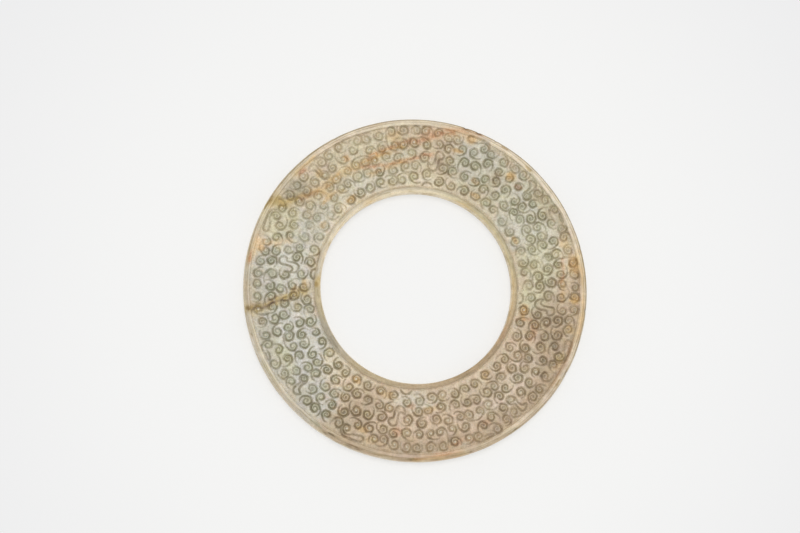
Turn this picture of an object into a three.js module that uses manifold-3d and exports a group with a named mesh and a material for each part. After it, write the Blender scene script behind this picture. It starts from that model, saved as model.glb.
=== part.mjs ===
// A carved stone ring disc: one flat ring with a plain rim at the hole and another at the edge.
// Between the rims the ground of both faces is cut down round five rows of low spiral curls, and a
// fine line is cut beside each rim. The disc lies on z = 0 with its centre on the Z axis.
// Lengths are in millimetres.

import * as THREE from 'three';
import { mergeVertices } from 'three/addons/utils/BufferGeometryUtils.js';
import Module from 'manifold-3d';

// The blank that is sawn and bored from the stone
const outerDiameter = 104;
const holeDiameter = 58;
const thickness = 4.5;
const outerEdgeRound = 1.1;
const holeEdgeRound = 0.8;

// The plain rims, and the ground that is cut down between them
const outerRimWidth = 2.4;
const holeRimWidth = 1.9;
const groundDepth = 0.45;

// The fine line that follows each rim
const lineWidth = 0.5;
const lineDepth = 0.2;

// A curl stands on the ground as a low rounded boss that runs out into a tail
const curlRadius = 0.95;
const curlTail = 1.65;
const curlHeight = 0.4;

// A hooked bar stands a little lower than the curls
const barHeight = 0.3;

// The maker laid the carving out by eye, so its centre lies a little off the centre of the hole
const layoutRight = 0.2;
const layoutUp = 0.35;

// How far a raised shape reaches into the stone under it
const rooting = 0.05;

// How finely the turned shape is faceted
const turnSteps = 72;
const roundSteps = 1;
const curlSides = 5;

// One quarter of the carving, which is repeated four times. A place has two numbers: its share of
// the way along the quarter, counted in parts of quarterParts, and its share of the band's width.
// A curl is its centre's place and the place that its tail points to.
const quarterParts = 91.5;
const curlShares = [
  // The row beside the outer rim
  [0.6, 0.82, -1.3, 0.77], [4.3, 0.81, 6.8, 0.76], [8.8, 0.8, 10.9, 0.745], [13.1, 0.765, 15.8, 0.86],
  [16.4, 0.785, 18.4, 0.855], [27, 0.79, 24, 0.825], [30.5, 0.775, 33, 0.88], [36, 0.77, 33.8, 0.86],
  [40.9, 0.8, 38.5, 0.87], [44.7, 0.805, 46.5, 0.885], [53.7, 0.79, 51.6, 0.865], [57.5, 0.805, 59.2, 0.865],
  [62.2, 0.84, 64.6, 0.755], [69.3, 0.82, 67, 0.895], [73, 0.8, 75.4, 0.87], [77.9, 0.8, 75.9, 0.85],
  [82.7, 0.82, 80.6, 0.8], [87.2, 0.825, 85.1, 0.89],
  // The second row
  [-0.5, 0.65, 2.2, 0.7], [4.6, 0.63, 0.8, 0.735], [9.7, 0.665, 7, 0.61], [14, 0.62, 16.9, 0.565],
  [19.4, 0.675, 17.2, 0.57], [24.2, 0.69, 28.3, 0.655], [31.1, 0.62, 33.7, 0.555], [36.6, 0.63, 39, 0.66],
  [41.6, 0.64, 39.2, 0.71], [46.5, 0.645, 48.3, 0.71], [51.7, 0.635, 51.3, 0.7], [55.9, 0.65, 57.8, 0.72],
  [61.6, 0.665, 59.4, 0.79], [66.2, 0.72, 68.7, 0.8], [72.8, 0.64, 75.5, 0.53], [78, 0.63, 80.3, 0.72],
  [82.9, 0.635, 80.4, 0.7], [86.6, 0.64, 83.3, 0.72],
  // The third row
  [89.8, 0.51, 87.8, 0.425], [4.6, 0.465, 7.1, 0.545], [15.8, 0.485, 18.6, 0.43], [22.1, 0.51, 20.7, 0.37],
  [26.8, 0.52, 30.5, 0.44], [33.6, 0.44, 35.7, 0.41], [38.1, 0.49, 35.7, 0.405], [43.4, 0.49, 45.8, 0.41],
  [49.8, 0.47, 46.6, 0.535], [54.3, 0.505, 57, 0.57], [60.2, 0.505, 57.3, 0.585], [65, 0.53, 68.5, 0.61],
  [69.4, 0.52, 71.3, 0.545], [73.3, 0.5, 76, 0.445], [78.8, 0.51, 81.4, 0.43], [83.8, 0.465, 86.5, 0.41],
  // The fourth row
  [0, 0.35, 3.1, 0.26], [13.4, 0.35, 10.3, 0.265], [18.5, 0.345, 21.5, 0.295], [24.3, 0.335, 26.6, 0.42],
  [30, 0.345, 27, 0.265], [35.2, 0.31, 38.8, 0.25], [41.6, 0.345, 39.6, 0.27], [48, 0.33, 50.5, 0.4],
  [53.8, 0.365, 56.8, 0.285], [57.8, 0.36, 60.6, 0.285], [63.8, 0.385, 66.6, 0.305],
  [68.2, 0.36, 69.8, 0.265], [73.7, 0.335, 76.7, 0.405], [80.8, 0.315, 82.9, 0.395],
  [87, 0.345, 89.6, 0.27],
  // The row beside the rim of the hole
  [-0.7, 0.205, 2.5, 0.12], [5.8, 0.245, 8.4, 0.17], [12.6, 0.165, 11.2, 0.22], [19.8, 0.165, 16.4, 0.255],
  [27.1, 0.165, 23.4, 0.11], [34, 0.175, 31, 0.25], [40.6, 0.195, 43.4, 0.105], [46, 0.185, 49.3, 0.11],
  [53.6, 0.165, 50.8, 0.255], [60.6, 0.18, 57.7, 0.255], [66.5, 0.185, 69, 0.255], [72.7, 0.195, 75.6, 0.115],
  [78.8, 0.165, 75.5, 0.245], [84.2, 0.175, 87.6, 0.245],
];

// The two figures that break the rows: a hooked bar by the second row and a double hook by the third
const barShares = [
  [
    [51.2, 0.67], [51.3, 0.79], [50.9, 0.83], [49.8, 0.845],
    [48.7, 0.83], [48.2, 0.8], [49.8, 0.77], [50.2, 0.67],
  ],
  [
    [10.9, 0.46], [10.7, 0.36], [10, 0.315], [8.5, 0.3], [6.9, 0.315], [6.1, 0.39],
    [7.4, 0.375], [8.8, 0.4], [9.2, 0.53], [10, 0.56], [11.5, 0.558], [12.5, 0.51],
  ],
];

// The shares of the band's width at which the lines beside the two rims lie
const groundStartShare = 0.086;
const groundEndShare = 0.862;

// The shares of a full turn at which the quarters start, counted with the clock from the foot of the disc
const quarterStartShares = [0, 0.252, 0.499, 0.747, 1];

const outerRadius = outerDiameter / 2;
const holeRadius = holeDiameter / 2;
const holeRimEnd = holeRadius + holeRimWidth;
const outerRimStart = outerRadius - outerRimWidth;
const groundStart = holeRimEnd + lineWidth;
const groundEnd = outerRimStart - lineWidth;
const ground = thickness - groundDepth;

const wasm = await Module();
wasm.setup();

// Leaves only the positions of a shape, with each corner once
function plainShape(geometry) {
  geometry.deleteAttribute('normal');
  geometry.deleteAttribute('uv');
  return mergeVertices(geometry);
}

function toSolid(geometry) {
  const vertProperties = new Float32Array(geometry.attributes.position.array);
  const triVerts = new Uint32Array(geometry.index.array);
  return new wasm.Manifold(new wasm.Mesh({ numProp: 3, vertProperties, triVerts }));
}

function toGeometry(solid) {
  const mesh = solid.getMesh();
  const geometry = new THREE.BufferGeometry();
  geometry.setAttribute('position', new THREE.BufferAttribute(mesh.vertProperties, mesh.numProp));
  geometry.setIndex(new THREE.BufferAttribute(mesh.triVerts, 1));
  geometry.computeVertexNormals();
  return geometry;
}

// Half of the ring's section, from the wall of the hole over one face to the outer edge, with the
// ground cut down between the rims
function faceSection() {
  const section = new THREE.Path();
  section.moveTo(holeRadius, thickness - holeEdgeRound);
  const holeEdgeCentre = holeRadius + holeEdgeRound;
  section.absarc(holeEdgeCentre, thickness - holeEdgeRound, holeEdgeRound, Math.PI, Math.PI / 2, true);
  section.lineTo(holeRimEnd + lineWidth / 2, thickness);
  section.lineTo(holeRimEnd + lineWidth / 2, ground);
  section.lineTo(outerRimStart - lineWidth / 2, ground);
  section.lineTo(outerRimStart - lineWidth / 2, thickness);
  const outerEdgeCentre = outerRadius - outerEdgeRound;
  section.lineTo(outerEdgeCentre, thickness);
  section.absarc(outerEdgeCentre, thickness - outerEdgeRound, outerEdgeRound, Math.PI / 2, 0, true);
  return section.getPoints(roundSteps);
}

// Turns a closed section, read against the clock, round the Z axis
function turnedRing(section) {
  const geometry = new THREE.LatheGeometry([...section, section[0].clone()], turnSteps);
  geometry.rotateX(Math.PI / 2);
  return toSolid(plainShape(geometry));
}

// The ring before it is carved: the section of the upper face and the same half turned over below
function ringBlank() {
  const upper = faceSection();
  const lower = upper.map((point) => new THREE.Vector2(point.x, thickness - point.y)).reverse();
  return turnedRing([...upper, ...lower].reverse());
}

// The groove of the line beside a rim. It slopes down from the rim's edge and up again to the ground,
// and it is open above.
function lineGroove(rimEdge, groundEdge) {
  const across = [
    new THREE.Vector2(rimEdge, thickness + lineDepth),
    new THREE.Vector2(rimEdge, thickness),
    new THREE.Vector2((rimEdge + groundEdge) / 2, ground - lineDepth),
    new THREE.Vector2(groundEdge, ground),
    new THREE.Vector2(groundEdge, thickness + lineDepth),
  ];
  return turnedRing(rimEdge < groundEdge ? across : across.reverse());
}

// Where a place of the carving lies on the face, seen from above
function placeOnFace([along, across], quarter) {
  const start = quarterStartShares[quarter];
  const end = quarterStartShares[quarter + 1];
  const turned = start + (along / quarterParts) * (end - start);
  const angle = -Math.PI / 2 - turned * 2 * Math.PI;
  const acrossGround = (across - groundStartShare) / (groundEndShare - groundStartShare);
  const radius = THREE.MathUtils.lerp(groundStart, groundEnd, acrossGround);
  return new THREE.Vector2(layoutRight + radius * Math.cos(angle), layoutUp + radius * Math.sin(angle));
}

// A low cone on a round foot with few sides. One corner of the foot is drawn out into the tail.
function curl([along, across, tailAlong, tailAcross], quarter) {
  const centre = placeOnFace([along, across], quarter);
  const towards = placeOnFace([tailAlong, tailAcross], quarter).sub(centre);
  const spread = (curlHeight + rooting) / curlHeight;
  const geometry = plainShape(new THREE.ConeGeometry(1, 1, curlSides));
  const corners = geometry.attributes.position;
  for (let i = 0; i < corners.count; i += 1) {
    const drawnOut = corners.getZ(i) > 1 - Number.EPSILON;
    const reach = drawnOut ? curlTail : curlRadius;
    corners.setX(i, corners.getX(i) * curlRadius * spread);
    corners.setZ(i, corners.getZ(i) * reach * spread);
  }
  geometry.rotateX(Math.PI / 2);
  geometry.rotateZ(towards.angle() + Math.PI / 2);
  geometry.scale(1, 1, curlHeight + rooting);
  geometry.translate(centre.x, centre.y, ground + (curlHeight - rooting) / 2);
  return toSolid(geometry);
}

// A flat raised bar with the outline of a hook
function hookedBar(outlineShares, quarter) {
  const outline = new THREE.Shape(outlineShares.map((place) => placeOnFace(place, quarter)));
  const geometry = new THREE.ExtrudeGeometry(outline, { depth: barHeight + rooting, bevelEnabled: false });
  geometry.translate(0, 0, ground - rooting);
  return toSolid(plainShape(geometry));
}

// Everything that stands on the upper face's ground
function faceCarving() {
  const quarters = [0, 1, 2, 3];
  const curls = quarters.flatMap((quarter) => curlShares.map((shares) => curl(shares, quarter)));
  const bars = quarters.flatMap((quarter) => barShares.map((shares) => hookedBar(shares, quarter)));
  return wasm.Manifold.union([...curls, ...bars]);
}

// The lower face's carving is the upper one's, turned over about the X axis
function turnedOver(solid) {
  const geometry = toGeometry(solid);
  geometry.rotateX(Math.PI);
  geometry.translate(0, 0, thickness);
  return toSolid(geometry);
}

const upperCarving = faceCarving();
const upperLines = lineGroove(holeRimEnd, groundStart).add(lineGroove(outerRimStart, groundEnd));
const carvedRing = ringBlank()
  .add(upperCarving)
  .add(turnedOver(upperCarving))
  .subtract(upperLines)
  .subtract(turnedOver(upperLines));

const jade = new THREE.MeshStandardMaterial({ color: 0xb9ac91, roughness: 0.35, metalness: 0 });

const disc = new THREE.Mesh(toGeometry(carvedRing), jade);
disc.name = 'jade_disc';

const part = new THREE.Group();
part.name = 'carved_ring_disc';
part.add(disc);

export default part;
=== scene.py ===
import bpy
import numpy as np
from mathutils import Matrix, Vector


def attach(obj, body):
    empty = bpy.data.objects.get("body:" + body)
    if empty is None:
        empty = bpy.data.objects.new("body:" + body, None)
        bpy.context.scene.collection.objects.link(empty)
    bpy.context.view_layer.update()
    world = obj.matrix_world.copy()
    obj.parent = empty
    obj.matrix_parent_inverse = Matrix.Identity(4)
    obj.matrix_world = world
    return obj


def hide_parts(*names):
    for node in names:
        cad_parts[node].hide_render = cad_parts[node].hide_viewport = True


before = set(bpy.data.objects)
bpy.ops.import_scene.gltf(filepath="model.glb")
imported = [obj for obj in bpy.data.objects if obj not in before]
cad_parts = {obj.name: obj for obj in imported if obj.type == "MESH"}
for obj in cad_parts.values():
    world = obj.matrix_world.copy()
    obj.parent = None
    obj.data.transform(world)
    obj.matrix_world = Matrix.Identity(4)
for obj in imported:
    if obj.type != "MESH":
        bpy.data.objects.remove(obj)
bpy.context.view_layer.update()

# The disc: one flat ring of nephrite, sawn and bored from the stone. Each face has a polished rim
# at the hole and at the edge, and between them the ground is cut down round five rows of low
# bosses, each with a spiral groove that runs out into a tail. Its sizes are in millimetres.
OUTER_RADIUS = 52.0
HOLE_RADIUS = 29.0
THICKNESS = 4.5
OUTER_EDGE_ROUND = 1.1
HOLE_EDGE_ROUND = 0.8
EDGE_WEAR = 0.035
# The rims were cut by hand: their widths at some places, in degrees against the clock from the
# right
HOLE_RIM_WIDTHS = (
    (0, 1.4), (60, 1.5), (120, 1.7), (160, 1.8), (215, 1.9), (262, 1.5), (300, 1.4), (345, 1.5))
OUTER_RIM_WIDTHS = (
    (0, 2.2), (100, 2.05), (150, 1.75), (185, 1.7), (225, 1.85), (265, 2.05), (300, 2.1), (335, 2.2))
RIM_WEAR = 0.012
# The ground, the slope that leads down to it and the marks of its tool
GROUND_DEPTH = 0.45
GROUND_SLOPE = 0.18
TOOL_MARKS = 0.030
# The lines cut beside the two rims, and the fine one scratched in the outer rim
RIM_LINE_WIDTH = 0.55
HOLE_LINE_DEPTH = 0.2
OUTER_LINE_DEPTH = 0.12
LINE_WANDER = 0.05
FINE_LINE_RADIUS = 50.95
FINE_LINE_HALF_WIDTH = 0.16
FINE_LINE_DEPTH = 0.04
# A curl: its boss, the bud in the middle, and the groove, which stops a little short of its
# place, and how far the hand slips
BOSS_HEIGHT = 0.20
BOSS_FOOT = 0.4
BOSS_SPREAD = 0.15
BUD_RADIUS = 0.42
BUD_HEIGHT = 0.10
GROOVE_HALF_WIDTH = 0.34
GROOVE_DEPTH = 0.22
GROOVE_TURNS = 1.65
TAIL_SHARE = 0.94
CENTRE_SLIP = 0.09
TIP_SLIP = 0.15

# The grid that the shape is worked out on, and how it is thinned out to a mesh
COLUMNS = 2016
ROW_STEP = 0.125
EDGE_ROWS = 8
TRIANGLES = 196000
RELIEF_STRETCH = 2.4
RELIEF_ZONE = 1.3
MM = 0.001

# The hole lies a little off the middle of the edge, and the carving follows the hole. It was
# laid out by eye in four quarters that repeat. A place is its share of the quarter, counted in
# parts, and its share of the ring's width. A curl is the place of its boss, the place where its
# tail ends, and the way it turns outwards, 1 against the clock.
QUARTER_PARTS = 91.5
QUARTER_STARTS = (0.0, 0.252, 0.499, 0.747, 1.0)
HOLE_OFFSET = np.array([0.1, 0.36])
LAYOUT_OFFSET = np.array([0.2, 0.35])
LAYOUT_RADIUS = 29.32
LAYOUT_WIDTH = 23.0
CURLS = (
    # the row beside the outer rim
    (0.6, 0.82, -1.3, 0.77, 1), (4.3, 0.81, 6.8, 0.76, -1), (8.8, 0.8, 10.9, 0.745, -1),
    (13.1, 0.765, 15.8, 0.86, -1), (16.4, 0.785, 18.4, 0.855, 1), (27, 0.79, 24, 0.825, 1),
    (30.5, 0.775, 33, 0.88, 1), (36, 0.77, 33.8, 0.86, 1), (40.9, 0.8, 38.5, 0.87, -1),
    (44.7, 0.805, 46.5, 0.885, 1), (53.7, 0.79, 51.6, 0.865, 1), (57.5, 0.805, 59.2, 0.865, -1),
    (62.2, 0.84, 64.6, 0.755, 1), (69.3, 0.82, 67, 0.895, 1), (73, 0.8, 75.4, 0.87, -1),
    (77.9, 0.8, 75.9, 0.85, -1), (82.7, 0.82, 80.6, 0.8, 1), (87.2, 0.825, 85.1, 0.89, -1),
    # the second row
    (-0.5, 0.65, 2.2, 0.7, 1), (4.6, 0.63, 0.8, 0.735, 1), (9.7, 0.665, 7, 0.61, -1),
    (14, 0.62, 16.9, 0.565, -1), (19.4, 0.675, 17.2, 0.57, -1), (24.2, 0.69, 28.3, 0.655, 1),
    (31.1, 0.62, 33.7, 0.555, -1), (36.6, 0.63, 39, 0.66, 1), (41.6, 0.64, 39.2, 0.71, 1),
    (46.5, 0.645, 48.3, 0.71, -1), (51.7, 0.635, 51.3, 0.7, 1), (55.9, 0.65, 57.8, 0.72, -1),
    (61.6, 0.665, 59.4, 0.79, -1), (66.2, 0.72, 68.7, 0.8, 1), (72.8, 0.64, 75.5, 0.53, -1),
    (78, 0.63, 80.3, 0.72, -1), (82.9, 0.635, 80.4, 0.7, -1), (86.6, 0.64, 83.3, 0.72, 1),
    # the third row
    (89.8, 0.51, 87.8, 0.425, -1), (4.6, 0.465, 7.1, 0.545, -1), (15.8, 0.485, 18.6, 0.43, 1),
    (22.1, 0.51, 20.7, 0.37, 1), (26.8, 0.52, 30.5, 0.44, -1), (33.6, 0.44, 35.7, 0.41, -1),
    (38.1, 0.49, 35.7, 0.405, -1), (43.4, 0.49, 45.8, 0.41, -1), (49.8, 0.47, 46.6, 0.535, 1),
    (54.3, 0.505, 57, 0.57, 1), (60.2, 0.505, 57.3, 0.585, 1), (65, 0.53, 68.5, 0.61, -1),
    (69.4, 0.52, 71.3, 0.545, 1), (73.3, 0.5, 76, 0.445, 1), (78.8, 0.51, 81.4, 0.43, 1),
    (83.8, 0.465, 86.5, 0.41, -1),
    # the fourth row
    (0, 0.35, 3.1, 0.26, -1), (13.4, 0.35, 10.3, 0.265, -1), (18.5, 0.345, 21.5, 0.295, 1),
    (24.3, 0.335, 26.6, 0.42, -1), (30, 0.345, 27, 0.265, -1), (35.2, 0.31, 38.8, 0.25, -1),
    (41.6, 0.345, 39.6, 0.27, -1), (48, 0.33, 50.5, 0.4, 1), (53.8, 0.365, 56.8, 0.285, 1),
    (57.8, 0.36, 60.6, 0.285, -1), (63.8, 0.385, 66.6, 0.305, 1), (68.2, 0.36, 69.8, 0.265, -1),
    (73.7, 0.335, 76.7, 0.405, 1), (80.8, 0.315, 82.9, 0.395, -1), (87, 0.345, 89.6, 0.27, 1),
    # the row beside the rim of the hole
    (-0.7, 0.205, 2.5, 0.12, 1), (5.8, 0.245, 8.4, 0.17, 1), (12.6, 0.165, 11.2, 0.22, 1),
    (19.8, 0.165, 16.4, 0.255, -1), (27.1, 0.165, 23.4, 0.11, 1), (34, 0.175, 31, 0.25, -1),
    (40.6, 0.195, 43.4, 0.105, 1), (46, 0.185, 49.3, 0.11, -1), (53.6, 0.165, 50.8, 0.255, 1),
    (60.6, 0.18, 57.7, 0.255, -1), (66.5, 0.185, 69, 0.255, 1), (72.7, 0.195, 75.6, 0.115, 1),
    (78.8, 0.165, 75.5, 0.245, 1), (84.2, 0.175, 87.6, 0.245, -1),
)
# Grooves that join curls or break the rows, each a run of places
JOINED_GROOVES = (
    ((24, 0.825), (22.3, 0.812), (20.8, 0.808), (20.1, 0.84), (20.7, 0.88), (23, 0.888),
     (26.8, 0.895), (28.3, 0.87), (29, 0.82)),
    ((67, 0.895), (64.7, 0.893), (64.4, 0.873), (66, 0.852), (67.6, 0.858)),
    ((80.6, 0.8), (80.3, 0.75), (80.4, 0.7)),
    ((68.5, 0.61), (70.4, 0.585), (71.6, 0.545)),
    # the hooked bar from the outer row to the second
    ((51.3, 0.7), (51.35, 0.79), (50.9, 0.835), (49.8, 0.85), (48.7, 0.832), (48.1, 0.8),
     (49.2, 0.783), (49.9, 0.755), (50.1, 0.7), (50, 0.64), (50.5, 0.605), (51.5, 0.588),
     (52.6, 0.6), (53.1, 0.635)),
    # the double hook between the third and fourth rows
    ((6.1, 0.4), (7.4, 0.372), (8.7, 0.395), (9.1, 0.46), (9.2, 0.53), (10, 0.56),
     (11.5, 0.558), (12.6, 0.52), (12.3, 0.475), (11, 0.46), (10.8, 0.42), (10.7, 0.36),
     (10, 0.31), (8.5, 0.295), (7, 0.31), (6.1, 0.355), (6.1, 0.4)),
    # half a ring, cut off by the rim of the hole
    ((3.8, 0.085), (4.6, 0.115), (6, 0.13), (7.6, 0.128), (8.8, 0.112), (9.6, 0.085)),
)
# Small chips in the edge: degrees against the clock from the right, width, depth
CHIPS = (
    (237.5, 1.9, 0.2), (246, 1.4, 0.18), (249.5, 2.2, 0.2), (267.5, 1.6, 0.18), (68, 0.8, 0.2),
    (72.5, 0.8, 0.2), (61.5, 0.6, 0.14), (331, 1.4, 0.14), (14, 0.9, 0.12), (196, 1.2, 0.14),
    (152, 1.1, 0.14), (118, 0.8, 0.12), (288, 0.9, 0.12), (305, 1.5, 0.14), (353, 1.2, 0.12),
)


def layout_place(along, out, quarter):
    """Where a place lies on the face. It goes with the clock from the foot of the disc by its
    share of the quarter, and out from the hole by its share of the ring's width."""
    start, end = QUARTER_STARTS[quarter], QUARTER_STARTS[quarter + 1]
    angle = -np.pi / 2 - 2 * np.pi * (start + along / QUARTER_PARTS * (end - start))
    radius = LAYOUT_RADIUS + out * LAYOUT_WIDTH
    return LAYOUT_OFFSET + np.stack([radius * np.cos(angle), radius * np.sin(angle)], -1)


def curl_groove(centre, tip, way, draw):
    """The spiral of one curl, and the outline of its boss. The groove starts beside the bud,
    winds close round it, then wider, and its tail reaches the tip. Its angle runs evenly, and
    short straight strokes give it five soft corners to a turn, 1 / cos(angle). The outline is
    the groove's last turn before the tail: a radius for each of its angles."""
    to_tip = tip - centre
    reach = np.hypot(*to_tip)
    turns = GROOVE_TURNS * draw.uniform(0.95, 1.05)
    size = draw.uniform(0.88, 1.10)
    tail = min(1.65, max(reach * 0.8, 1.42)) * size
    turned = np.linspace(0, turns, 72)
    angle = np.arctan2(to_tip[1], to_tip[0]) - way * (turns - turned) * 2 * np.pi
    radius = np.interp(
        turned, [0, 0.3, 0.7, 1.05, turns - 0.14, turns],
        [0.12, 0.56 * size, 1.02 * size, 1.28 * size, tail, reach])
    radius = np.convolve(np.pad(radius, 3, mode="edge"), np.ones(7) / 7, "valid")
    oval = 0.065 * np.cos(2 * angle + draw.uniform(0, 6.3))
    from_stroke = (angle - draw.uniform(0, 6.3)) % (2 * np.pi / 5) - np.pi / 5
    cornered = 0.42 * (0.93 / np.cos(from_stroke) - 1)
    radius *= 1 + (oval + cornered) * np.clip((turns - turned) / 0.3, 0, 1)
    groove = centre + radius[:, None] * np.stack([np.cos(angle), np.sin(angle)], -1)
    last = (turned > turns - 1.16) & (turned <= turns - 0.16)
    return groove, angle[last], radius[last]


def soft_run(points):
    """A smooth curve through the points: each step is the cubic whose slope at a point is half
    the way from the point before it to the point after it."""
    p = np.asarray(points, float)
    ends = (p[-2], p[1]) if np.allclose(p[0], p[-1]) else (2 * p[0] - p[1], 2 * p[-1] - p[-2])
    q = np.vstack([ends[0], p, ends[1]])
    t = np.linspace(0, 1, 8, endpoint=False)[:, None, None]
    a, b, c, d = q[:-3], q[1:-2], q[2:-1], q[3:]
    steps = 0.5 * (2 * b + (c - a) * t + (2 * a - 5 * b + 4 * c - d) * t**2
                   + (3 * b - a - 3 * c + d) * t**3)
    return np.vstack([steps.transpose(1, 0, 2).reshape(-1, 2), p[-1:]])


def unevenness(x, y, waves, shortest, longest, seed):
    """A soft random surface between about -1 and 1: the sum of plane cosine waves whose
    directions, lengths and starts are drawn at random."""
    draw = np.random.default_rng(seed)
    total = np.zeros(np.broadcast(x, y).shape)
    for _ in range(waves):
        way = draw.uniform(0, 2 * np.pi)
        number = 2 * np.pi / np.exp(draw.uniform(np.log(shortest), np.log(longest)))
        total += np.cos(number * (x * np.cos(way) + y * np.sin(way)) + draw.uniform(0, 2 * np.pi))
    return total / np.sqrt(2 * waves)


def soft_step(value):
    """0 below 0, 1 above 1, and a smooth rise between: 3t^2 - 2t^3."""
    t = np.clip(value, 0, 1)
    return t * t * (3 - 2 * t)


def degrees_off(turn, degrees):
    """How far angles lie from a given one, in degrees between -180 and 180."""
    return (np.degrees(turn) - degrees + 180) % 360 - 180


def ground_start(turn):
    """Where the cut ground starts, from the hole's centre, at angles from the right."""
    degrees, widths = np.transpose(HOLE_RIM_WIDTHS)
    return HOLE_RADIUS + np.interp(np.degrees(turn), degrees, widths, period=360)


def ground_end(turn):
    """Where the cut ground ends, from the edge's centre, at angles from the right."""
    degrees, widths = np.transpose(OUTER_RIM_WIDTHS)
    return OUTER_RADIUS - np.interp(np.degrees(turn), degrees, widths, period=360)


# The places of the face's grid: columns round the ring, and rows from the hole outwards
inner_flat = HOLE_RADIUS + HOLE_EDGE_ROUND
outer_flat = OUTER_RADIUS - OUTER_EDGE_ROUND
angles = np.arange(COLUMNS) * 2 * np.pi / COLUMNS
radii = np.linspace(inner_flat, outer_flat, int(round((outer_flat - inner_flat) / ROW_STEP)) + 1)


def off_centre(radius):
    """How much of the hole's offset a circle of the grid has: all of it at the hole, falling
    evenly to none at the outer edge."""
    return np.clip((OUTER_RADIUS - radius) / (OUTER_RADIUS - HOLE_RADIUS), 0, 1)


def ring_x_y(radius):
    """Where the grid's places lie: (radius cos angle, radius sin angle) and their share of the
    hole's offset."""
    share = off_centre(radius)
    return (radius * np.cos(angles)[:, None] + HOLE_OFFSET[0] * share,
            radius * np.sin(angles)[:, None] + HOLE_OFFSET[1] * share)


face_x, face_y = ring_x_y(radii)

# How far each place of the face is cut by a groove, and how far it is raised by a boss and by a
# bud, 0 to 1, and the tone of the boss that it lies on
cut = np.zeros((COLUMNS, len(radii)))
boss = np.zeros_like(cut)
bud = np.zeros_like(cut)
tone = np.full_like(cut, 0.5)


def face_patch(low, high):
    """The columns and rows of the grid round the box from the low corner to the high one."""
    middle = (low + high) / 2
    reach = np.hypot(*(high - low)) / 2 + np.hypot(*HOLE_OFFSET)
    radius, angle = np.hypot(*middle), np.arctan2(middle[1], middle[0])
    wide = int(np.ceil(reach / max(radius - reach, 1) / (2 * np.pi) * COLUMNS))
    column = int(round(angle / (2 * np.pi) * COLUMNS))
    rows = np.flatnonzero(np.abs(radii - radius) <= reach)
    return np.arange(column - wide, column + wide + 1) % COLUMNS, rows


def from_line(x, y, line):
    """The distance of places from each straight step of a line, and how far along the line the
    nearest point is, in steps. That point's share of the step is (place - start) . step / |step|^2,
    held between 0 and 1."""
    start, step = line[:-1], np.diff(line, axis=0)
    share = ((x - start[:, 0]) * step[:, 0] + (y - start[:, 1]) * step[:, 1]) / (step**2).sum(1)
    share = np.clip(share, 0, 1)
    away = np.hypot(x - start[:, 0] - share * step[:, 0], y - start[:, 1] - share * step[:, 1])
    return away, np.arange(len(step)) + share


def cut_groove(line, widths, depths):
    """Cuts a groove along a line of points. Its section is a bell, exp(-(distance / half
    width)^2), and its half width and depth are read along the line from the given ones."""
    margin = 3 * widths.max()
    columns, rows = face_patch(line.min(0) - margin, line.max(0) + margin)
    place = np.ix_(columns, rows)
    x, y = face_x[place][..., None], face_y[place][..., None]
    away, along = from_line(x, y, line)
    depth = np.interp(along, np.linspace(0, len(line) - 1, len(depths)), depths)
    half_width = np.interp(along, np.linspace(0, len(line) - 1, len(widths)), widths)
    cut[place] = np.maximum(cut[place], (depth * np.exp(-((away / half_width) ** 2))).max(-1))


def raise_boss(centre, outline_angle, outline_radius, own_tone, own_bud):
    """Raises a low flat boss up to its outline, with a soft foot, and on its top the bud, a dome
    sqrt(1 - (distance / radius)^2). Each boss has a tone and a height of bud of its own."""
    reach = outline_radius.max() + BOSS_FOOT
    columns, rows = face_patch(centre - reach, centre + reach)
    place = np.ix_(columns, rows)
    x, y = face_x[place] - centre[0], face_y[place] - centre[1]
    away = np.hypot(x, y)
    outline = np.interp(np.arctan2(y, x), outline_angle, outline_radius, period=2 * np.pi)
    here = soft_step((outline + BOSS_SPREAD - away) / BOSS_FOOT)
    tone[place] = np.where(here > boss[place], own_tone, tone[place])
    boss[place] = np.maximum(boss[place], here)
    dome = np.sqrt(np.clip(1 - (away / BUD_RADIUS) ** 2, 0, 1))
    bud[place] = np.maximum(bud[place], own_bud * dome)


# How wide and how deep a curl's groove is along its length, from the bud to the tail's end
GROOVE_WIDTH_SHARES = np.array([0.85, 0.75, 0.75, 0.9, 1.05, 1.1, 1.1, 1.05, 1.0, 0.9])
GROOVE_DEPTH_SHARES = np.array([0.9, 0.75, 0.6, 0.7, 0.9, 1, 1, 1, 0.95, 0.6])
# How much wider it starts where the bud is worn away
HOLLOW_WIDTH_SHARES = np.array([0.5, 0.35, 0.15, 0, 0, 0, 0, 0, 0, 0])
hand = np.random.default_rng(7)
for quarter in range(4):
    for along, out, tip_along, tip_out, way in CURLS:
        centre = layout_place(along, out, quarter) + hand.normal(0, CENTRE_SLIP, 2)
        tip = layout_place(tip_along, tip_out, quarter) + hand.normal(0, TIP_SLIP, 2)
        tip = centre + TAIL_SHARE * (tip - centre)
        groove, outline_angle, outline_radius = curl_groove(centre, tip, way, hand)
        strength = hand.uniform(0.75, 1.0)
        half_width = GROOVE_HALF_WIDTH * hand.uniform(0.88, 1.12)
        # more bosses on the left have kept their bud
        left_side = soft_step(0.7 + np.dot(centre, (-0.96, -0.26)) / OUTER_RADIUS)
        own_bud = np.clip(hand.uniform(-1.5, 1) + 0.9 * left_side, 0, 1)
        width_shares = GROOVE_WIDTH_SHARES + (1 - own_bud) * HOLLOW_WIDTH_SHARES
        cut_groove(groove, half_width * width_shares, strength * GROOVE_DEPTH_SHARES)
        raise_boss(centre, outline_angle, outline_radius, hand.uniform(0, 1), own_bud)
    for run in JOINED_GROOVES:
        places = np.array([layout_place(along, out, quarter) for along, out in run])
        cut_groove(soft_run(places), GROOVE_HALF_WIDTH * np.ones(2), np.array([0.8, 1, 1, 1, 0.8]))


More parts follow.
